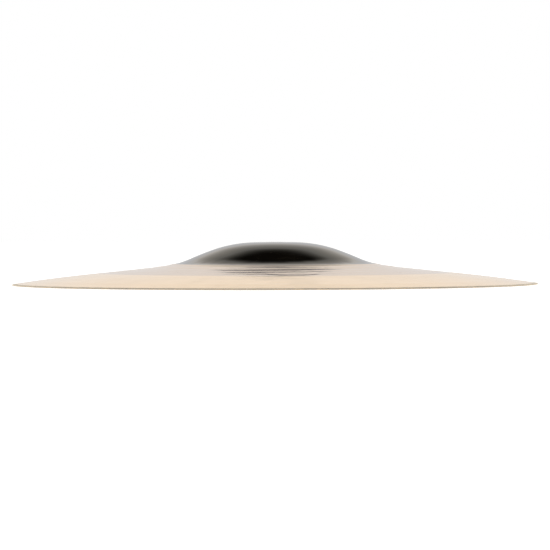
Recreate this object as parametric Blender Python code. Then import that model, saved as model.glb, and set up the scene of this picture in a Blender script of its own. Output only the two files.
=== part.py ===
"""A crash cymbal: one sheet of bronze, pressed and turned, with no other piece.

From the axis outwards it is a hole for the stand's rod, a level seat for the felts, the bell
and the bow. The cymbal lies on its rim. The origin is the centre of the circle that the rim
rests on, and +Z runs up the axis of the hole. Lengths are in metres.
"""

import math

import bmesh
import bpy
from mathutils import Vector

# Across the cymbal, from the axis to the rim. The outer bow takes what the rest leaves.
RIM_DIAMETER = 0.4064
HOLE_DIAMETER = 0.0125
SEAT_WIDTH = 0.008
SHOULDER_WIDTH = 0.0347
FLANK_WIDTH = 0.0162
ROOT_WIDTH = 0.0132
FOOT_WIDTH = 0.0212
INNER_BOW_WIDTH = 0.0365

# How steeply the upper surface falls at the outer end of each stretch.
SHOULDER_SLOPE = math.radians(19.7)
FLANK_SLOPE = math.radians(23.7)
ROOT_SLOPE = math.radians(11.2)
FOOT_SLOPE = math.radians(5.9)
INNER_BOW_SLOPE = math.radians(5.55)
RIM_SLOPE = math.radians(8.5)

# The metal is thickest at the crown of the bell and tapers to the rim.
CROWN_THICKNESS = 0.0014
FOOT_THICKNESS = 0.0011
RIM_THICKNESS = 0.0009
HOLE_DEBURR = 0.0002

BRONZE_COLOUR = (0.78, 0.59, 0.38, 1.0)
BRONZE_ROUGHNESS = 0.12

# Where one stretch ends and the next begins, as distances from the axis.
HOLE_RADIUS = HOLE_DIAMETER / 2
SEAT_RADIUS = HOLE_RADIUS + SEAT_WIDTH
BELL_RADIUS = SEAT_RADIUS + SHOULDER_WIDTH + FLANK_WIDTH + ROOT_WIDTH + FOOT_WIDTH
RIM_RADIUS = RIM_DIAMETER / 2
NOSE_RADIUS = RIM_THICKNESS / 2

# Facets: how finely each round stretch is cut, and the whole turn.
TURN_STEPS = 96
SHOULDER_STEPS = 4
FLANK_STEPS = 2
ROOT_STEPS = 4
FOOT_STEPS = 3
INNER_BOW_STEPS = 2
OUTER_BOW_STEPS = 5
NOSE_STEPS = 6
SMOOTH_BELOW = math.radians(30)


def clear_scene():
    for old in list(bpy.data.objects):
        bpy.data.objects.remove(old, do_unlink=True)


def stretch(start, width, end_slope, steps):
    """Points after start, each as (radius, height, slope), on an arc that runs width outwards.

    Along an arc the sine of the slope grows evenly with the radius, so the bend's own radius
    is the width over that growth. With no change of slope the stretch is straight.
    """
    radius, height, slope = start
    if end_slope == slope:
        return [(radius + width, height - width * math.tan(slope), slope)]
    bend = width / (math.sin(end_slope) - math.sin(slope))
    points = []
    for step in range(1, steps + 1):
        here = slope + (end_slope - slope) * step / steps
        out = bend * (math.sin(here) - math.sin(slope))
        down = bend * (math.cos(slope) - math.cos(here))
        points.append((radius + out, height - down, here))
    return points


def upper_surface():
    """(radius, height, slope) along the upper surface, from the hole's wall to the rim.

    Heights are from the crown downwards. The outer bow stops at the rim's half-round nose.
    """
    nose_reach = NOSE_RADIUS * (1 - math.sin(RIM_SLOPE))
    outer_bow = RIM_RADIUS - BELL_RADIUS - INNER_BOW_WIDTH - nose_reach
    stretches = [
        (SEAT_WIDTH, 0.0, 1),
        (SHOULDER_WIDTH, SHOULDER_SLOPE, SHOULDER_STEPS),
        (FLANK_WIDTH, FLANK_SLOPE, FLANK_STEPS),
        (ROOT_WIDTH, ROOT_SLOPE, ROOT_STEPS),
        (FOOT_WIDTH, FOOT_SLOPE, FOOT_STEPS),
        (INNER_BOW_WIDTH, INNER_BOW_SLOPE, INNER_BOW_STEPS),
        (outer_bow, RIM_SLOPE, OUTER_BOW_STEPS),
    ]
    points = [(HOLE_RADIUS, 0.0, 0.0)]
    for width, end_slope, steps in stretches:
        points += stretch(points[-1], width, end_slope, steps)
    return points


def between(low, high, share):
    return low + (high - low) * min(1.0, max(0.0, share))


def thickness(radius):
    """Even across the seat, then tapering to the foot of the bell, and again to the rim."""
    if radius <= BELL_RADIUS:
        share = (radius - SEAT_RADIUS) / (BELL_RADIUS - SEAT_RADIUS)
        return between(CROWN_THICKNESS, FOOT_THICKNESS, share)
    share = (radius - BELL_RADIUS) / (RIM_RADIUS - BELL_RADIUS)
    return between(FOOT_THICKNESS, RIM_THICKNESS, share)


def nose(upper_end, lower_end, slope):
    """(radius, height) round the rim's half-round edge, between its two surfaces."""
    middle_radius = (upper_end[0] + lower_end[0]) / 2
    middle_height = (upper_end[1] + lower_end[1]) / 2
    half = math.dist(upper_end, lower_end) / 2
    points = []
    for step in range(1, NOSE_STEPS):
        angle = math.pi / 2 - slope - math.pi * step / NOSE_STEPS
        radius = middle_radius + half * math.cos(angle)
        height = middle_height + half * math.sin(angle)
        points.append((radius, height))
    return points


def section():
    """The closed outline that is spun about the axis, as (radius, height), with the rim at 0."""
    surface = upper_surface()
    upper = [(radius, height) for radius, height, _ in surface]
    lower = []
    for radius, height, slope in surface:
        depth = thickness(radius)
        lower.append((radius - depth * math.sin(slope), height - depth * math.cos(slope)))
    rim = nose(upper[-1], lower[-1], surface[-1][2])
    upper[0:1] = [(HOLE_RADIUS, -HOLE_DEBURR), (HOLE_RADIUS + HOLE_DEBURR, 0.0)]
    lower[0:1] = [
        (HOLE_RADIUS, HOLE_DEBURR - CROWN_THICKNESS),
        (HOLE_RADIUS + HOLE_DEBURR, -CROWN_THICKNESS),
    ]
    outline = upper + rim + lower[::-1]
    lowest = min(height for _, height in outline)
    return [(radius, height - lowest) for radius, height in outline]


def metal(name, colour, roughness):
    material = bpy.data.materials.new(name)
    material.use_nodes = True
    shader = material.node_tree.nodes["Principled BSDF"]
    shader.inputs["Base Color"].default_value = colour
    shader.inputs["Roughness"].default_value = roughness
    shader.inputs["Metallic"].default_value = 1.0
    return material


def turned(name, outline, material):
    """A solid of revolution about Z from a closed outline."""
    shape = bmesh.new()
    corners = [shape.verts.new((radius, 0.0, height)) for radius, height in outline]
    edges = [shape.edges.new((a, b)) for a, b in zip(corners, corners[1:] + corners[:1])]
    bmesh.ops.spin(
        shape,
        geom=corners + edges,
        cent=Vector((0, 0, 0)),
        axis=Vector((0, 0, 1)),
        angle=2 * math.pi,
        steps=TURN_STEPS,
        use_merge=True,
    )
    bmesh.ops.recalc_face_normals(shape, faces=shape.faces)
    mesh = bpy.data.meshes.new(name)
    shape.to_mesh(mesh)
    shape.free()
    mesh.shade_smooth()
    mesh.set_sharp_from_angle(angle=SMOOTH_BELOW)
    mesh.materials.append(material)
    solid = bpy.data.objects.new(name, mesh)
    bpy.context.scene.collection.objects.link(solid)
    return solid


def build():
    clear_scene()
    bronze = metal("polished_bronze", BRONZE_COLOUR, BRONZE_ROUGHNESS)
    turned("cymbal", section(), bronze)


build()
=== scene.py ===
"""A crash cymbal of polished bronze, lying on its rim on a pale studio floor.

The cymbal is one sheet of metal, so it is one piece here too: a fine turned body that stands for
the CAD node. Lengths are in metres, the rim rests at height 0, and +Z is the axis of the hole.
"""

import math

import bpy
import numpy as np
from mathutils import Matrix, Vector


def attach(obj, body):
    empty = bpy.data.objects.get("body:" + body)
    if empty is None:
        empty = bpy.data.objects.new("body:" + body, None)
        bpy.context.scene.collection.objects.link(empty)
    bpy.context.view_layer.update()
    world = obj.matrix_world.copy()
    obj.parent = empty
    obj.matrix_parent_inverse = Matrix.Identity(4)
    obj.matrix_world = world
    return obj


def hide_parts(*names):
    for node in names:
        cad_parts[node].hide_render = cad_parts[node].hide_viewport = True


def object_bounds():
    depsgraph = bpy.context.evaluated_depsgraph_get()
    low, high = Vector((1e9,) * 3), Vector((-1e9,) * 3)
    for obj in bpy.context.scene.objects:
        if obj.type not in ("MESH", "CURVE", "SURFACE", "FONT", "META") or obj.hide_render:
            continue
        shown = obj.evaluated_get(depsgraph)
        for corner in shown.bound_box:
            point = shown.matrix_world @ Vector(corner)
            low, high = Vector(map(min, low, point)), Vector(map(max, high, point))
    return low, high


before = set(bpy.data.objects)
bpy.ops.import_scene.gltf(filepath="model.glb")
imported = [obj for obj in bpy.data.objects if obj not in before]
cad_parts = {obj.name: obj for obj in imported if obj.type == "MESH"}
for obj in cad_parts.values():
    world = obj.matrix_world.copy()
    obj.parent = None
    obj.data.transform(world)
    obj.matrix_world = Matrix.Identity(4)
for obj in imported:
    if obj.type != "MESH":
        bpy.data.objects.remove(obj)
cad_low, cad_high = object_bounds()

# ---------------------------------------------------------------- the turned profile

# The rim comes from the frame. The stretches follow the source, except that the foot ends a
# quarter of a degree steeper and the inner bow 0.15 degrees, which lifts the crown by a quarter of
# a millimetre.
RIM_RADIUS = (cad_high[0] - cad_low[0]) / 2
HOLE_RADIUS = 0.00625
SEAT_WIDTH = 0.008
SHOULDER_WIDTH = 0.0347
FLANK_WIDTH = 0.0162
ROOT_WIDTH = 0.0132
FOOT_WIDTH = 0.0212
INNER_BOW_WIDTH = 0.0365

SHOULDER_SLOPE = math.radians(19.7)
FLANK_SLOPE = math.radians(23.7)
ROOT_SLOPE = math.radians(11.2)
FOOT_SLOPE = math.radians(6.15)
INNER_BOW_SLOPE = math.radians(5.7)
RIM_SLOPE = math.radians(8.5)

CROWN_THICKNESS = 0.0014
FOOT_THICKNESS = 0.0011
RIM_THICKNESS = 0.0009
HOLE_DEBURR = 0.0002

SEAT_RADIUS = HOLE_RADIUS + SEAT_WIDTH
ROOT_RADIUS = SEAT_RADIUS + SHOULDER_WIDTH + FLANK_WIDTH + ROOT_WIDTH
BELL_RADIUS = ROOT_RADIUS + FOOT_WIDTH
NOSE_RADIUS = RIM_THICKNESS / 2

# The lathe's tool stopped here, where the brighter outer bow begins, and left a shallow groove.
OUTER_BOW_RADIUS = BELL_RADIUS + INNER_BOW_WIDTH
GROOVE_HALF_WIDTH = 0.0022
GROOVE_DEPTH = 0.00003

# How finely each stretch is cut, and the whole turn. The underside keeps one ring in UNDER_SKIP.
TURN_STEPS = 576
SEAT_STEPS = 3
SHOULDER_STEPS = 14
FLANK_STEPS = 7
ROOT_STEPS = 9
FOOT_STEPS = 14
INNER_BOW_STEPS = 44
OUTER_BOW_STEPS = 24
NOSE_STEPS = 8
HOLE_STEPS = 3
UNDER_SKIP = 3


def stretch(start, width, end_slope, steps):
    """Points after start, each as (radius, height, slope), on an arc that runs width outwards."""
    radius, height, slope = start
    points = []
    if end_slope == slope:
        for step in range(1, steps + 1):
            run = width * step / steps
            points.append((radius + run, height - run * math.tan(slope), slope))
        return points
    bend = width / (math.sin(end_slope) - math.sin(slope))
    for step in range(1, steps + 1):
        here = slope + (end_slope - slope) * step / steps
        out = bend * (math.sin(here) - math.sin(slope))
        down = bend * (math.cos(slope) - math.cos(here))
        points.append((radius + out, height - down, here))
    return points


def upper_surface():
    """(radius, height, slope) along the upper surface, heights from the crown downwards."""
    nose_reach = NOSE_RADIUS * (1 - math.sin(RIM_SLOPE))
    outer_bow = RIM_RADIUS - BELL_RADIUS - INNER_BOW_WIDTH - nose_reach
    stretches = [
        (SEAT_WIDTH, 0.0, SEAT_STEPS),
        (SHOULDER_WIDTH, SHOULDER_SLOPE, SHOULDER_STEPS),
        (FLANK_WIDTH, FLANK_SLOPE, FLANK_STEPS),
        (ROOT_WIDTH, ROOT_SLOPE, ROOT_STEPS),
        (FOOT_WIDTH, FOOT_SLOPE, FOOT_STEPS),
        (INNER_BOW_WIDTH, INNER_BOW_SLOPE, INNER_BOW_STEPS),
        (outer_bow, RIM_SLOPE, OUTER_BOW_STEPS),
    ]
    points = [(HOLE_RADIUS, 0.0, 0.0)]
    for width, end_slope, steps in stretches:
        points += stretch(points[-1], width, end_slope, steps)
    return points


def between(low, high, share):
    return low + (high - low) * min(1.0, max(0.0, share))


def thickness(radius):
    """Even across the seat, then tapering to the foot of the bell, and again to the rim."""
    if radius <= BELL_RADIUS:
        share = (radius - SEAT_RADIUS) / (BELL_RADIUS - SEAT_RADIUS)
        return between(CROWN_THICKNESS, FOOT_THICKNESS, share)
    share = (radius - BELL_RADIUS) / (RIM_RADIUS - BELL_RADIUS)
    return between(FOOT_THICKNESS, RIM_THICKNESS, share)


# ---------------------------------------------------------------- relief in the metal

# Hammer marks: rings of shallow dents over the bow and the foot of the bell.
MARK_SPACING = 0.0125
MARK_RADIUS = 0.0068
MARK_DEPTH = 0.000045
MARK_JITTER = 0.0022
MARK_FAINTEST = 0.4
MARKS_FROM = 0.074
MARKS_TO = 0.196
MARK_SEED = 16

# Ripples that the lathe leaves as it rides over the hammered sheet, strongest by the bell. Each is
# (radial wavelength, half height, lobes of its wander, wander, lobes of its strength, phase of the
# wave, phase of the strength). The strength swings between 1 and 1 less twice the swing.
RIPPLES = (
    (0.01258, 0.000058, 4, 0.6, 3, 0.0, 6.28),
    (0.00991, 0.000036, 6, 0.8, 5, 1.57, 3.14),
    (0.00570, 0.000004, 9, 2.3, 11, 1.7, 0.9),
)
RIPPLES_SWING = 0.26

# A ripple rises gently outwards and falls sharply: the shares of the second and third overtones
# that skew it so, and the greatest value that it takes, which is level with the sheet.
WAVE_SECOND = -0.4
WAVE_THIRD = 0.2
WAVE_CREST = 1.26

# The ripples rise to full height between the first two distances from the axis, and between the
# last two they fade to a small share of it.
RIPPLES_FROM = 0.067
RIPPLES_FULL = 0.080
RIPPLES_EASE = 0.092
RIPPLES_FAR = 0.137
RIPPLES_FAR_SHARE = 0.04

# One shallow scoop in the inner bow, which deepens outwards and then ends at a rounded step: its
# distance from the axis, its direction, half its size along and across the radius, the share of
# that before the step, how far along it is at its deepest, and its depth.
SCOOP_RADIUS = 0.1185
SCOOP_ANGLE = math.radians(-84.0)
SCOOP_ALONG = 0.0155
SCOOP_ACROSS = 0.022
SCOOP_STEP_FROM = 0.74
SCOOP_DEEPEST = 0.75
SCOOP_DEPTH = 0.00022

# The slow wander of a hammered sheet: (lobes round the rim, half height, phase).
SHEET_LOBES = ((2, 0.00006, 0.7), (3, 0.00004, 2.1), (5, 0.00002, 4.4))

# The bell's own faint unevenness from pressing, given the same way.
BELL_LOBES = ((2, 0.000030, 1.2), (3, 0.000018, 3.3), (7, 0.000004, 0.6))

# The cut relief dies out over this width at the rim.
RIM_CALM = 0.004


def eased(low, high, value):
    """0 below low, 1 above high and a smooth rise between."""
    share = np.clip((value - low) / (high - low), 0.0, 1.0)
    return share * share * (3.0 - 2.0 * share)


def hammer_marks():
    """(x, y, depth) of each dent, in rings whose gaps and depths vary as a hand's do."""
    chance = np.random.default_rng(MARK_SEED)
    marks = []
    rings = int((MARKS_TO - MARKS_FROM) / MARK_SPACING) + 1
    for ring in range(rings):
        radius = MARKS_FROM + ring * MARK_SPACING
        count = int(2 * math.pi * radius / MARK_SPACING)
        for number in range(count):
            angle = 2 * math.pi * (number + 0.5 * (ring % 2)) / count
            dx, dy = chance.normal(0.0, MARK_JITTER, 2)
            depth = MARK_DEPTH * chance.uniform(MARK_FAINTEST, 1.0)
            marks.append((radius * math.cos(angle) + dx, radius * math.sin(angle) + dy, depth))
    return marks


def dents(x, y):
    """How deep the hammer marks press each point of a grid of points."""
    depth = np.zeros_like(x)
    for mark_x, mark_y, mark_depth in hammer_marks():
        gap = ((x - mark_x) ** 2 + (y - mark_y) ** 2) / MARK_RADIUS**2
        inside = gap < 1.0
        depth[inside] += mark_depth * (1.0 - gap[inside]) ** 2
    return depth


def ripples(radius, angle):
    """Long low waves that run round the bow and wander, at most 0 high."""
    height = np.zeros_like(radius)
    for wavelength, half, lobes, wander, strength_lobes, phase, strength_phase in RIPPLES:
        turn = 2 * math.pi * radius / wavelength + wander * np.sin(lobes * angle) + phase
        wave = np.sin(turn) + WAVE_SECOND * np.sin(2 * turn) + WAVE_THIRD * np.sin(3 * turn)
        swing = np.sin(strength_lobes * angle + strength_phase) - 1.0
        strength = 1.0 + RIPPLES_SWING * swing
        height += half * strength * (wave - WAVE_CREST)
    fall = 1.0 - (1.0 - RIPPLES_FAR_SHARE) * eased(RIPPLES_EASE, RIPPLES_FAR, radius)
    return height * eased(RIPPLES_FROM, RIPPLES_FULL, radius) * fall


def scoop(radius, angle):
    """A crescent that fades out towards the bell and steps up at its outer edge, at most 0 high."""
    turn = np.angle(np.exp(1j * (angle - SCOOP_ANGLE)))
    along = (radius - SCOOP_RADIUS) / SCOOP_ALONG
    across = turn * SCOOP_RADIUS / SCOOP_ACROSS
    inside = 1.0 - eased(SCOOP_STEP_FROM, 1.0, np.hypot(along, across))
    return -SCOOP_DEPTH * inside * eased(-1.0, SCOOP_DEEPEST, along)


def groove(radius):
    """The shallow turned groove between the inner and the outer bow, at most 0 high."""
    across = np.clip(np.abs(radius - OUTER_BOW_RADIUS) / GROOVE_HALF_WIDTH, 0.0, 1.0)
    return -GROOVE_DEPTH * (1.0 + np.cos(math.pi * across)) / 2


def waves(table, angle):
    """The sum of slow waves round the axis, at most 0 high."""
    lift = np.zeros_like(angle)
    for lobes, height, phase in table:
        lift += height * (np.sin(lobes * angle + phase) - 1.0)
    return lift


def sheet_wander(radius, angle):
    """Slow waves of the bell's flank and of the bow, which die out at the crown and the rim."""
    share = np.clip((radius - ROOT_RADIUS) / (RIM_RADIUS - ROOT_RADIUS), 0.0, 1.0)
    bow = waves(SHEET_LOBES, angle) * np.sin(math.pi * share) ** 2
    share = np.clip((radius - SEAT_RADIUS) / (ROOT_RADIUS - SEAT_RADIUS), 0.0, 1.0)
    bell = waves(BELL_LOBES, angle) * np.sin(math.pi * share) ** 2
    return bow + bell


# ---------------------------------------------------------------- the cymbal's mesh

BELL, INNER_BOW, OUTER_BOW, EDGE, HOLE, UNDERSIDE = range(6)

# The edge's finish reaches this far in over both faces, and rounding never moves a finish's border
# past the slack.
EDGE_BAND = 0.0006
FINISH_SLACK = 0.0001


def rings():
    """The closed outline as rings: (radius, height, out, up, side) from the hole's wall round.

    out and up are the surface's normal, and side is +1 on top, -1 beneath and 0 on the edges.
    """
    top = upper_surface()
    outline = []
    for radius, height, slope in top:
        outline.append((radius, height, math.sin(slope), math.cos(slope), 1))
    outline[0] = (HOLE_RADIUS + HOLE_DEBURR, 0.0, 0.0, 1.0, 1)

    end_radius, end_height, end_slope = top[-1]
    depth = thickness(end_radius)
    middle_radius = end_radius - math.sin(end_slope) * depth / 2
    middle_height = end_height - math.cos(end_slope) * depth / 2
    for step in range(1, NOSE_STEPS):
        angle = math.pi / 2 - end_slope - math.pi * step / NOSE_STEPS
        out, up = math.cos(angle), math.sin(angle)
        radius = middle_radius + depth / 2 * out
        outline.append((radius, middle_height + depth / 2 * up, out, up, 0))

    below = [top[-1]] + top[-3:0:-UNDER_SKIP]
    if below[-1] != top[0]:
        below.append(top[0])
    for radius, height, slope in below:
        depth = thickness(radius)
        out, up = -math.sin(slope), -math.cos(slope)
        outline.append((radius + depth * out, height + depth * up, out, up, -1))
    outline[-1] = (HOLE_RADIUS + HOLE_DEBURR, -CROWN_THICKNESS, 0.0, -1.0, -1)

    for step in range(HOLE_STEPS + 1):
        share = step / HOLE_STEPS
        height = between(HOLE_DEBURR - CROWN_THICKNESS, -HOLE_DEBURR, share)
        outline.append((HOLE_RADIUS, height, -1.0, 0.0, 0))
    return outline


def zone(ring, next_ring):
    """Which finish the strip of metal between two neighbouring rings has."""
    if min(ring[0], next_ring[0]) < HOLE_RADIUS + HOLE_DEBURR / 2:
        return HOLE
    radius = max(ring[0], next_ring[0])
    if ring[4] == 0 or next_ring[4] == 0 or radius > RIM_RADIUS - EDGE_BAND:
        return EDGE
    if ring[4] < 0:
        return UNDERSIDE
    if radius < ROOT_RADIUS + FINISH_SLACK:
        return BELL
    return INNER_BOW if radius < OUTER_BOW_RADIUS + FINISH_SLACK else OUTER_BOW


def cymbal_mesh():
    """The outline turned about the axis, with the relief pressed and cut into both faces."""
    outline = rings()
    radius, height, out, up, side = np.array(outline).T[:, :, None]
    angle = np.linspace(0.0, 2 * math.pi, TURN_STEPS, endpoint=False)[None, :]

    x, y = radius * np.cos(angle), radius * np.sin(angle)
    wide_radius, wide_angle = np.broadcast_arrays(radius, angle)
    calm = eased(0.0, RIM_CALM, RIM_RADIUS - radius)
    cut = ripples(wide_radius, wide_angle) + groove(wide_radius)
    cut += scoop(wide_radius, wide_angle)
    push = (cut - dents(x, y)) * side * calm
    radius = radius + push * out
    x, y = radius * np.cos(angle), radius * np.sin(angle)
    z = height + push * up + sheet_wander(wide_radius, wide_angle)
    z = z - z.min()

    points = np.stack([x, y, z], axis=-1).reshape(-1, 3)
    faces, zones = [], []
    count = len(outline)
    for ring in range(count):
        beyond = (ring + 1) % count
        finish = zone(outline[ring], outline[beyond])
        for step in range(TURN_STEPS):
            ahead = (step + 1) % TURN_STEPS
            faces.append((
                ring * TURN_STEPS + step,
                beyond * TURN_STEPS + step,
                beyond * TURN_STEPS + ahead,
                ring * TURN_STEPS + ahead,
            ))
            zones.append(finish)
    mesh = bpy.data.meshes.new("crash_cymbal")
    mesh.from_pydata(points.tolist(), [], faces)
    mesh.polygons.foreach_set("material_index", zones)
    mesh.shade_smooth()
    mesh.update()
    return mesh


# ---------------------------------------------------------------- shader shorthand


class Nodes:
    """Shorthand for adding and joining shader nodes in one tree."""

    def __init__(self, tree):
        self.tree = tree

    def add(self, kind, **values):
        node = self.tree.nodes.new(kind)
        for name, value in values.items():
            setattr(node, name, value)
        return node

    def feed(self, socket, value):
        if isinstance(value, bpy.types.NodeSocket):
            self.tree.links.new(value, socket)
        else:
            socket.default_value = value

    def math(self, operation, *values):
        node = self.add("ShaderNodeMath", operation=operation)
        for socket, value in zip(node.inputs, values):
            self.feed(socket, value)
        return node.outputs[0]

    def remap(self, value, low, high, to_low, to_high):
        """value from low..high to to_low..to_high with eased ends, and held beyond them."""
        node = self.add("ShaderNodeMapRange", interpolation_type="SMOOTHSTEP")
        for socket, number in zip(node.inputs, (value, low, high, to_low, to_high)):
            self.feed(socket, number)
        return node.outputs[0]

    def mix(self, share, first, second):
        """The first colour where share is 0, and the second where it is 1."""
        node = self.add("ShaderNodeMix", data_type="RGBA")
        self.feed(node.inputs[0], share)
        self.feed(node.inputs[6], first)
        self.feed(node.inputs[7], second)
        return node.outputs[2]

    def tinted(self, colour, share, amount, other):
        """colour, taken by amount towards other where share is 1."""
        return self.mix(self.math("MULTIPLY", share, amount), colour, other)

    def plus(self, value, share, amount):
        """value, raised by amount where share is 1."""
        return self.math("MULTIPLY_ADD", share, amount, value)

    def noise(self, scale, detail, roughness=0.5, vector=None, line=None):
        """Clouds through space at vector, or a changing value along line."""
        node = self.add("ShaderNodeTexNoise", noise_dimensions="1D" if line else "3D")
        self.feed(node.inputs["Scale"], scale)
        self.feed(node.inputs["Detail"], detail)
        self.feed(node.inputs["Roughness"], roughness)
        if line:
            self.feed(node.inputs["W"], line)
        else:
            self.feed(node.inputs["Vector"], vector)
        return node.outputs[0]

    def place(self):
        """The point on the cymbal, in metres from its own origin."""
        return self.add("ShaderNodeTexCoord").outputs["Object"]

    def radius_and_direction(self):
        """Distance from the axis, and x and y of the direction away from it."""
        split = self.add("ShaderNodeSeparateXYZ")
        self.feed(split.inputs[0], self.place())
        x, y = split.outputs["X"], split.outputs["Y"]
        square = self.math("ADD", self.math("MULTIPLY", x, x), self.math("MULTIPLY", y, y))
        radius = self.math("SQRT", square)
        return radius, self.math("DIVIDE", x, radius), self.math("DIVIDE", y, radius)

    def drawn_out(self, turn):
        """A point for a texture that is drawn out round the axis; a small turn draws it far."""
        radius, x, y = self.radius_and_direction()
        point = self.add("ShaderNodeCombineXYZ")
        self.feed(point.inputs[0], self.math("MULTIPLY", x, turn))
        self.feed(point.inputs[1], self.math("MULTIPLY", y, turn))
        self.feed(point.inputs[2], radius)
        return point.outputs[0]

    def use(self, group, **values):
        """Places a group of nodes with its own values."""
        node = self.add("ShaderNodeGroup", node_tree=group)
        for name, value in values.items():
            self.feed(node.inputs[name.replace("_", " ").capitalize()], value)
        return node.outputs


def node_group(name, inputs, outputs):
    """An empty group with number sockets, its input node's sockets and its output node's."""
    tree = bpy.data.node_groups.new(name, "ShaderNodeTree")
    for socket in inputs:
        tree.interface.new_socket(name=socket, in_out="INPUT", socket_type="NodeSocketFloat")
    for socket in outputs:
        tree.interface.new_socket(name=socket, in_out="OUTPUT", socket_type="NodeSocketFloat")
    nodes = Nodes(tree)
    given = nodes.add("NodeGroupInput").outputs
    result = nodes.add("NodeGroupOutput").inputs
    return tree, nodes, given, result


# ---------------------------------------------------------------- shared effects of the metal

# How far a turned line strays from its circle, in metres, and how often that changes in a metre.
STRAY = 0.0006
STRAY_SCALE = 45.0

# How often scratches change in a metre across themselves, and how little they do along.
SCRATCH_SCALE = 900.0
SCRATCH_TURN = 0.03

# How often browning breaks up in a metre.
PATCH_SCALE = 130.0


def turned_lines():
    """Rings that a lathe's tool cuts about the axis: their height, and broad tonal bands."""
    tree, nodes, given, result = node_group(
        "turned lines", ("Lines per metre", "Bands per metre"), ("Height", "Bands")
    )
    radius, _, _ = nodes.radius_and_direction()
    stray = nodes.noise(STRAY_SCALE, 2.0, vector=nodes.place())
    radius = nodes.math("ADD", radius, nodes.math("MULTIPLY", stray, STRAY))
    fine = nodes.noise(given["Lines per metre"], 3.0, 0.6, line=radius)
    broad = nodes.noise(given["Bands per metre"], 2.0, 0.55, line=radius)
    nodes.feed(result["Height"], fine)
    nodes.feed(result["Bands"], nodes.remap(broad, 0.36, 0.64, 0.0, 1.0))
    return tree


def hand_polish():
    """Clouds of haze that buffing and fingers leave, and long thin scratches round the axis."""
    tree, nodes, given, result = node_group("hand polish", ("Haze size",), ("Haze", "Scratches"))
    clouds = nodes.noise(nodes.math("DIVIDE", 1.0, given["Haze size"]), 5.0, 0.6, nodes.place())
    nodes.feed(result["Haze"], nodes.remap(clouds, 0.42, 0.68, 0.0, 1.0))
    scratches = nodes.noise(SCRATCH_SCALE, 1.0, 0.5, nodes.drawn_out(SCRATCH_TURN))
    nodes.feed(result["Scratches"], nodes.remap(scratches, 0.66, 0.74, 0.0, 1.0))
    return tree


def tool_streaks():
    """Low ridges that run part of the way round, where the lathe's tool rode up and down."""
    tree, nodes, given, result = node_group("tool streaks", ("Width", "Turn"), ("Height",))
    turn = nodes.math("DIVIDE", given["Width"], given["Turn"])
    scale = nodes.math("DIVIDE", 1.0, given["Width"])
    nodes.feed(result["Height"], nodes.noise(scale, 1.5, 0.45, nodes.drawn_out(turn)))
    return tree


def tarnish():
    """Browning that starts at one radius, fades over a width and breaks up in patches."""
    tree, nodes, given, result = node_group("tarnish", ("Radius", "Width"), ("Mask",))
    radius, _, _ = nodes.radius_and_direction()
    away = nodes.math("ABSOLUTE", nodes.math("SUBTRACT", radius, given["Radius"]))
    near = nodes.remap(nodes.math("DIVIDE", away, given["Width"]), 0.0, 1.0, 1.0, 0.0)
    patches = nodes.noise(PATCH_SCALE, 4.0, 0.65, nodes.place())
    broken = nodes.remap(patches, 0.3, 0.7, 0.25, 1.0)
    nodes.feed(result["Mask"], nodes.math("MULTIPLY", near, broken))
    return tree


def pressed_marks():
    """Faint facets that hammering leaves between the dents: their height and their tone."""
    tree, nodes, given, result = node_group("pressed marks", ("Size",), ("Height", "Tone"))
    cells = nodes.add("ShaderNodeTexVoronoi", feature="SMOOTH_F1")
    nodes.feed(cells.inputs["Vector"], nodes.place())
    nodes.feed(cells.inputs["Scale"], nodes.math("DIVIDE", 1.0, given["Size"]))
    nodes.feed(cells.inputs["Smoothness"], 1.0)
    distance = cells.outputs["Distance"]
    nodes.feed(result["Height"], distance)
    nodes.feed(result["Tone"], nodes.remap(distance, 0.2, 0.75, 0.0, 1.0))
    return tree


# ---------------------------------------------------------------- finishes

# The metal's own colour, where it is looked straight at.
BELL_BRONZE = (0.79, 0.63, 0.41, 1.0)
INNER_BRONZE = (0.81, 0.62, 0.37, 1.0)
OUTER_BRONZE = (0.82, 0.585, 0.315, 1.0)
BARE_BRONZE = (0.88, 0.70, 0.45, 1.0)
BROWNED_BRONZE = (0.42, 0.29, 0.17, 1.0)
# The edge is darker and greyer than the faces, all round the rim.
EDGE_BRONZE = (0.58, 0.51, 0.43, 1.0)
UNDERSIDE_BRONZE = (0.76, 0.55, 0.31, 1.0)

# Its tint at a low angle: the bell turns grey there and the bow pale.
BELL_GRAZING = (0.48, 0.53, 0.64, 1.0)
INNER_GRAZING = (0.82, 0.81, 0.88, 1.0)
OUTER_GRAZING = (1.0, 0.96, 0.95, 1.0)
EDGE_GRAZING = (1.0, 0.95, 0.85, 1.0)
UNDERSIDE_GRAZING = (1.0, 0.92, 0.80, 1.0)

# How rough each finish is before bands, haze and scratches add to it.
BELL_ROUGHNESS = 0.045
INNER_ROUGHNESS = 0.06
OUTER_ROUGHNESS = 0.08
EDGE_ROUGHNESS = 0.30
HOLE_ROUGHNESS = 0.5
UNDERSIDE_ROUGHNESS = 0.24

# How deep the finest marks go, in metres.
BELL_LINES = 0.0000016
INNER_LINES = 0.0000015
OUTER_LINES = 0.0000018
EDGE_NICKS = 0.00001
HOLE_SCORES = 0.00002
UNDERSIDE_LINES = 0.000008

# The tool's streaks in the inner bow are this many times as high as its lines.
STREAKS_OVER_LINES = 26.0

# The tangent runs round the axis, along the lines, and they spread a highlight across themselves.
HIGHLIGHT_SPREAD = 0.5
QUARTER_TURN = 0.25

# The stand's sleeve and felts brown the metal from the hole outwards.
BROWNED_FROM = 0.0062


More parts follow.
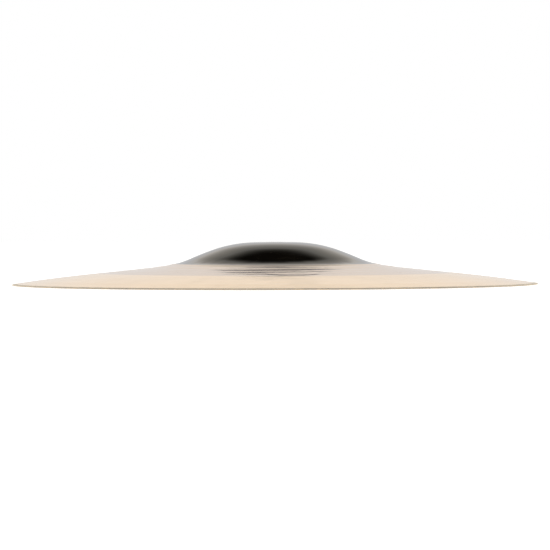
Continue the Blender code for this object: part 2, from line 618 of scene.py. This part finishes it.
def bronze(name, grazing, anisotropy):
    """A metal whose turned lines run round the axis; the caller feeds its changing sockets."""
    material = bpy.data.materials.new(name)
    material.use_nodes = True
    nodes = Nodes(material.node_tree)
    shader = material.node_tree.nodes["Principled BSDF"]
    shader.inputs["Metallic"].default_value = 1.0
    shader.inputs["Specular Tint"].default_value = grazing
    if anisotropy:
        shader.inputs["Anisotropic"].default_value = anisotropy
        shader.inputs["Anisotropic Rotation"].default_value = QUARTER_TURN
        turning = nodes.add("ShaderNodeTangent", direction_type="RADIAL", axis="Z")
        nodes.feed(shader.inputs["Tangent"], turning.outputs[0])
    return material, nodes, shader


def relief(nodes, shader, height, depth):
    """Bumps the surface by height (0 to 1) times depth in metres."""
    bump = nodes.add("ShaderNodeBump")
    nodes.feed(bump.inputs["Distance"], depth)
    nodes.feed(bump.inputs["Height"], height)
    nodes.feed(shader.inputs["Normal"], bump.outputs[0])


def bell_finish(effects):
    """Buffed to a mirror, with hairline turning marks and a browned ring at the hole."""
    material, nodes, shader = bronze("buffed_bell", BELL_GRAZING, 0.0)
    lines = nodes.use(effects["lines"], lines_per_metre=1400.0, bands_per_metre=90.0)
    polish = nodes.use(effects["polish"], haze_size=0.022)
    browned = nodes.use(effects["tarnish"], radius=BROWNED_FROM, width=0.012)
    colour = nodes.tinted(BELL_BRONZE, polish["Haze"], 0.35, BARE_BRONZE)
    colour = nodes.tinted(colour, browned["Mask"], 0.75, BROWNED_BRONZE)
    nodes.feed(shader.inputs["Base Color"], colour)
    rough = nodes.plus(BELL_ROUGHNESS, polish["Haze"], 0.035)
    rough = nodes.plus(rough, polish["Scratches"], 0.06)
    rough = nodes.plus(rough, browned["Mask"], 0.25)
    nodes.feed(shader.inputs["Roughness"], rough)
    relief(nodes, shader, lines["Height"], BELL_LINES)
    return material


def inner_bow_finish(effects):
    """Turned and then buffed nearly as bright as the bell, so that it mirrors the bell in streaks."""
    material, nodes, shader = bronze("buffed_inner_bow", INNER_GRAZING, HIGHLIGHT_SPREAD)
    lines = nodes.use(effects["lines"], lines_per_metre=800.0, bands_per_metre=170.0)
    streaks = nodes.use(effects["streaks"], width=0.0055, turn=0.45)
    polish = nodes.use(effects["polish"], haze_size=0.03)
    browned = nodes.use(effects["tarnish"], radius=ROOT_RADIUS, width=0.004)
    colour = nodes.tinted(INNER_BRONZE, lines["Bands"], 0.7, BARE_BRONZE)
    colour = nodes.tinted(colour, browned["Mask"], 0.30, BROWNED_BRONZE)
    nodes.feed(shader.inputs["Base Color"], colour)
    rough = nodes.plus(INNER_ROUGHNESS, lines["Bands"], 0.06)
    rough = nodes.plus(rough, polish["Haze"], 0.03)
    rough = nodes.plus(rough, polish["Scratches"], 0.04)
    nodes.feed(shader.inputs["Roughness"], rough)
    height = nodes.plus(lines["Height"], streaks["Height"], STREAKS_OVER_LINES)
    relief(nodes, shader, height, INNER_LINES)
    return material


def outer_bow_finish(effects):
    """Lathed in fine rings and then buffed: bands of brighter and softer metal out to the rim."""
    material, nodes, shader = bronze("lathed_outer_bow", OUTER_GRAZING, HIGHLIGHT_SPREAD)
    lines = nodes.use(effects["lines"], lines_per_metre=700.0, bands_per_metre=120.0)
    polish = nodes.use(effects["polish"], haze_size=0.045)
    marks = nodes.use(effects["marks"], size=0.0125)
    colour = nodes.tinted(OUTER_BRONZE, lines["Bands"], 0.7, BARE_BRONZE)
    colour = nodes.tinted(colour, polish["Haze"], 0.05, BROWNED_BRONZE)
    nodes.feed(shader.inputs["Base Color"], colour)
    rough = nodes.plus(OUTER_ROUGHNESS, lines["Bands"], 0.03)
    rough = nodes.plus(rough, polish["Haze"], 0.03)
    rough = nodes.plus(rough, marks["Tone"], 0.02)
    rough = nodes.plus(rough, polish["Scratches"], 0.03)
    nodes.feed(shader.inputs["Roughness"], rough)
    height = nodes.plus(lines["Height"], marks["Height"], 0.5)
    relief(nodes, shader, height, OUTER_LINES)
    return material


def edge_finish(effects):
    """The rim's rounded edge, darker and greyer than the faces, and rubbed bright in places by sticks.
    """
    material, nodes, shader = bronze("turned_edge", EDGE_GRAZING, 0.0)
    polish = nodes.use(effects["polish"], haze_size=0.009)
    colour = nodes.tinted(EDGE_BRONZE, polish["Haze"], 0.3, OUTER_BRONZE)
    nodes.feed(shader.inputs["Base Color"], colour)
    rough = nodes.plus(EDGE_ROUGHNESS, polish["Haze"], -0.10)
    nodes.feed(shader.inputs["Roughness"], rough)
    relief(nodes, shader, polish["Haze"], EDGE_NICKS)
    return material


def hole_finish(effects):
    """The punched wall of the hole, browned and scored by the stand's sleeve."""
    material, nodes, shader = bronze("punched_hole", EDGE_GRAZING, 0.0)
    polish = nodes.use(effects["polish"], haze_size=0.003)
    colour = nodes.tinted(BROWNED_BRONZE, polish["Haze"], 0.6, OUTER_BRONZE)
    nodes.feed(shader.inputs["Base Color"], colour)
    rough = nodes.plus(HOLE_ROUGHNESS, polish["Haze"], -0.12)
    nodes.feed(shader.inputs["Roughness"], rough)
    relief(nodes, shader, polish["Haze"], HOLE_SCORES)
    return material


def underside_finish(effects):
    """Lathed like the bow but less buffed, with the hammering plainer and a duller colour."""
    material, nodes, shader = bronze("lathed_underside", UNDERSIDE_GRAZING, HIGHLIGHT_SPREAD)
    lines = nodes.use(effects["lines"], lines_per_metre=800.0, bands_per_metre=110.0)
    polish = nodes.use(effects["polish"], haze_size=0.05)
    marks = nodes.use(effects["marks"], size=0.0135)
    browned = nodes.use(effects["tarnish"], radius=BROWNED_FROM, width=0.018)
    colour = nodes.tinted(UNDERSIDE_BRONZE, lines["Bands"], 0.6, OUTER_BRONZE)
    colour = nodes.tinted(colour, polish["Haze"], 0.25, BROWNED_BRONZE)
    colour = nodes.tinted(colour, browned["Mask"], 0.6, BROWNED_BRONZE)
    nodes.feed(shader.inputs["Base Color"], colour)
    rough = nodes.plus(UNDERSIDE_ROUGHNESS, lines["Bands"], 0.08)
    rough = nodes.plus(rough, marks["Tone"], 0.05)
    rough = nodes.plus(rough, polish["Haze"], 0.08)
    nodes.feed(shader.inputs["Roughness"], rough)
    height = nodes.plus(lines["Height"], marks["Height"], 1.5)
    relief(nodes, shader, height, UNDERSIDE_LINES)
    return material


def finishes():
    """The cymbal's six finishes, in the order of its zones."""
    effects = {
        "lines": turned_lines(),
        "polish": hand_polish(),
        "streaks": tool_streaks(),
        "tarnish": tarnish(),
        "marks": pressed_marks(),
    }
    makers = (
        bell_finish,
        inner_bow_finish,
        outer_bow_finish,
        edge_finish,
        hole_finish,
        underside_finish,
    )
    return [maker(effects) for maker in makers]


def cymbal():
    piece = bpy.data.objects.new("crash_cymbal", cymbal_mesh())
    bpy.context.scene.collection.objects.link(piece)
    for material in finishes():
        piece.data.materials.append(material)
    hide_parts("cymbal")
    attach(piece, "root")
    return piece


# ---------------------------------------------------------------- the studio

FLOOR_HALF = 6.0
FLOOR_WHITE = (0.9, 0.9, 0.9, 1.0)
FLOOR_ROUGHNESS = 0.9
FLOOR_GLOW = 0.45
WHITE = (1.0, 1.0, 1.0, 1.0)


def floor():
    """A plain white floor, which glows a little so that it stays even out to its far edge."""
    mesh = bpy.data.meshes.new("studio_floor")
    side = FLOOR_HALF
    corners = [(-side, -side, 0.0), (side, -side, 0.0), (side, side, 0.0), (-side, side, 0.0)]
    mesh.from_pydata(corners, [], [(0, 1, 2, 3)])
    material = bpy.data.materials.new("pale_floor")
    material.use_nodes = True
    shader = material.node_tree.nodes["Principled BSDF"]
    shader.inputs["Base Color"].default_value = FLOOR_WHITE
    shader.inputs["Roughness"].default_value = FLOOR_ROUGHNESS
    shader.inputs["Specular IOR Level"].default_value = 0.0
    shader.inputs["Emission Color"].default_value = WHITE
    shader.inputs["Emission Strength"].default_value = FLOOR_GLOW
    mesh.materials.append(material)
    plane = bpy.data.objects.new("studio_floor", mesh)
    bpy.context.scene.collection.objects.link(plane)


# The studio's soft walls: degrees above the horizon, and the light that comes from there.
WALL_FOOT = (
    (0.0, (0.84, 0.82, 0.795)),
    (4.0, (0.86, 0.84, 0.81)),
    (9.0, (0.93, 0.905, 0.86)),
    (12.0, (0.96, 0.935, 0.885)),
    (15.5, (1.00, 0.975, 0.92)),
    (18.0, (0.97, 0.955, 0.905)),
)
CEILING = (
    (56.0, (0.50, 0.50, 0.51)),
    (62.0, (1.05, 1.03, 1.00)),
    (74.0, (1.00, 0.98, 0.95)),
    (90.0, (0.85, 0.84, 0.82)),
)

# On the back wall a grey screen hangs between the bright foot and the ceiling. Its light halves
# every few degrees, soonest in red, and above its shoulder it eases into black.
SCREEN_FROM = 20.0
SCREEN_SHOULDER = 34.0
SCREEN_BLACK_FROM = 42.0
SCREEN_BLACK_TO = 50.0
SCREEN_FOOT_LIGHT = (0.79, 0.79, 0.76)
SCREEN_HALVING = (6.8, 7.4, 8.7)
SCREEN_BLACK = 0.0045
SCREEN_STEPS = 4

SIDE_WALLS = (
    (0.0, (0.98, 0.95, 0.91)),
    (14.0, (0.88, 0.85, 0.81)),
    (30.0, (0.66, 0.63, 0.59)),
    (46.0, (0.45, 0.43, 0.41)),
    (56.0, (0.60, 0.59, 0.58)),
) + CEILING[1:]

# The walls' light is held as a share of this.
BRIGHTEST = 1.5

# The back wall fills this much to each side of +Y, and has given way to the side walls by the
# second angle.
BACK_WALL_FULL = math.radians(14.0)
BACK_WALL_GONE = math.radians(36.0)


def screen_light(degrees):
    """The screen's grey at a height up to its shoulder."""
    over = degrees - SCREEN_FROM
    return [part * 0.5 ** (over / halving) for part, halving in zip(SCREEN_FOOT_LIGHT, SCREEN_HALVING)]


def back_wall():
    """The back wall's stops: its foot, the screen, the screen's fall into black and the ceiling."""
    stops = list(WALL_FOOT)
    for step in range(SCREEN_STEPS + 1):
        degrees = SCREEN_FROM + (SCREEN_SHOULDER - SCREEN_FROM) * step / SCREEN_STEPS
        stops.append((degrees, screen_light(degrees)))
    shoulder = screen_light(SCREEN_SHOULDER)
    for step in range(1, SCREEN_STEPS + 1):
        share = step / SCREEN_STEPS
        degrees = SCREEN_SHOULDER + (SCREEN_BLACK_FROM - SCREEN_SHOULDER) * share
        left = (1.0 - share) ** 2
        stops.append((degrees, [SCREEN_BLACK + (part - SCREEN_BLACK) * left for part in shoulder]))
    stops.append((SCREEN_BLACK_TO, [SCREEN_BLACK] * 3))
    return stops + list(CEILING)


def wall(nodes, rise, stops):
    """The light at a height, where rise is the sine of the angle above the horizon."""
    node = nodes.add("ShaderNodeValToRGB")
    nodes.feed(node.inputs[0], rise)
    while len(node.color_ramp.elements) < len(stops):
        node.color_ramp.elements.new(0.5)
    for element, (degrees, light) in zip(node.color_ramp.elements, stops):
        element.position = math.sin(math.radians(degrees))
        element.color = (*[part / BRIGHTEST for part in light], 1.0)
    return node.outputs["Color"]


def studio_light():
    """What the metal mirrors: the walls. The camera itself sees plain white behind the cymbal."""
    world = bpy.data.worlds.new("studio")
    bpy.context.scene.world = world
    world.use_nodes = True
    tree = world.node_tree
    tree.nodes.clear()
    nodes = Nodes(tree)
    split = nodes.add("ShaderNodeSeparateXYZ")
    nodes.feed(split.inputs[0], nodes.add("ShaderNodeTexCoord").outputs["Generated"])
    x, y, rise = split.outputs[0], split.outputs[1], split.outputs[2]
    square = nodes.math("ADD", nodes.math("MULTIPLY", x, x), nodes.math("MULTIPLY", y, y))
    towards_back = nodes.math("DIVIDE", y, nodes.math("SQRT", square))
    back = nodes.remap(
        towards_back, math.cos(BACK_WALL_GONE), math.cos(BACK_WALL_FULL), 0.0, 1.0
    )
    walls = nodes.mix(back, wall(nodes, rise, SIDE_WALLS), wall(nodes, rise, back_wall()))
    reflected = nodes.add("ShaderNodeBackground")
    nodes.feed(reflected.inputs["Color"], walls)
    nodes.feed(reflected.inputs["Strength"], BRIGHTEST)
    seen = nodes.add("ShaderNodeBackground")
    mix = nodes.add("ShaderNodeMixShader")
    nodes.feed(seen.inputs["Color"], WHITE)
    nodes.feed(mix.inputs[0], nodes.add("ShaderNodeLightPath").outputs["Is Camera Ray"])
    nodes.feed(mix.inputs[1], reflected.outputs[0])
    nodes.feed(mix.inputs[2], seen.outputs[0])
    out = nodes.add("ShaderNodeOutputWorld")
    nodes.feed(out.inputs["Surface"], mix.outputs[0])


# One soft box overhead lights the floor. The metal doesn't mirror it.
OVERHEAD_PLACE = Vector((0.0, 0.2, 2.6))
OVERHEAD_SIDE = 2.4
OVERHEAD_POWER = 22.0


def overhead_soft_box():
    light = bpy.data.lights.new("overhead", "AREA")
    light.shape = "SQUARE"
    light.size = OVERHEAD_SIDE
    light.energy = OVERHEAD_POWER
    lamp = bpy.data.objects.new("overhead", light)
    lamp.location = OVERHEAD_PLACE
    lamp.rotation_mode = "QUATERNION"
    lamp.rotation_quaternion = (-OVERHEAD_PLACE).to_track_quat("-Z", "Y")
    lamp.visible_glossy = False
    bpy.context.scene.collection.objects.link(lamp)


# ---------------------------------------------------------------- the camera

CAMERA_DISTANCE = 2.2
CAMERA_HEIGHT = 0.0452
AIM_HEIGHT = 0.0073
CAMERA_LENS = 185.6
CAMERA_ROLL = math.radians(-0.15)
NEAREST_SEEN = 0.1
FARTHEST_SEEN = 100.0


def camera():
    """A long lens just above the floor, almost level with the rim."""
    data = bpy.data.cameras.new("camera")
    data.lens = CAMERA_LENS
    data.clip_start = NEAREST_SEEN
    data.clip_end = FARTHEST_SEEN
    eye = bpy.data.objects.new("camera", data)
    place = Vector((0.0, -CAMERA_DISTANCE, CAMERA_HEIGHT))
    aim = Vector((0.0, 0.0, AIM_HEIGHT))
    eye.location = place
    turn = (aim - place).to_track_quat("-Z", "Y")
    eye.rotation_euler = turn.to_euler()
    eye.rotation_euler.rotate_axis("Z", CAMERA_ROLL)
    bpy.context.scene.collection.objects.link(eye)
    bpy.context.scene.camera = eye


def build():
    cymbal()
    floor()
    studio_light()
    overhead_soft_box()
    camera()
    bpy.context.scene.view_settings.view_transform = "Standard"


build()
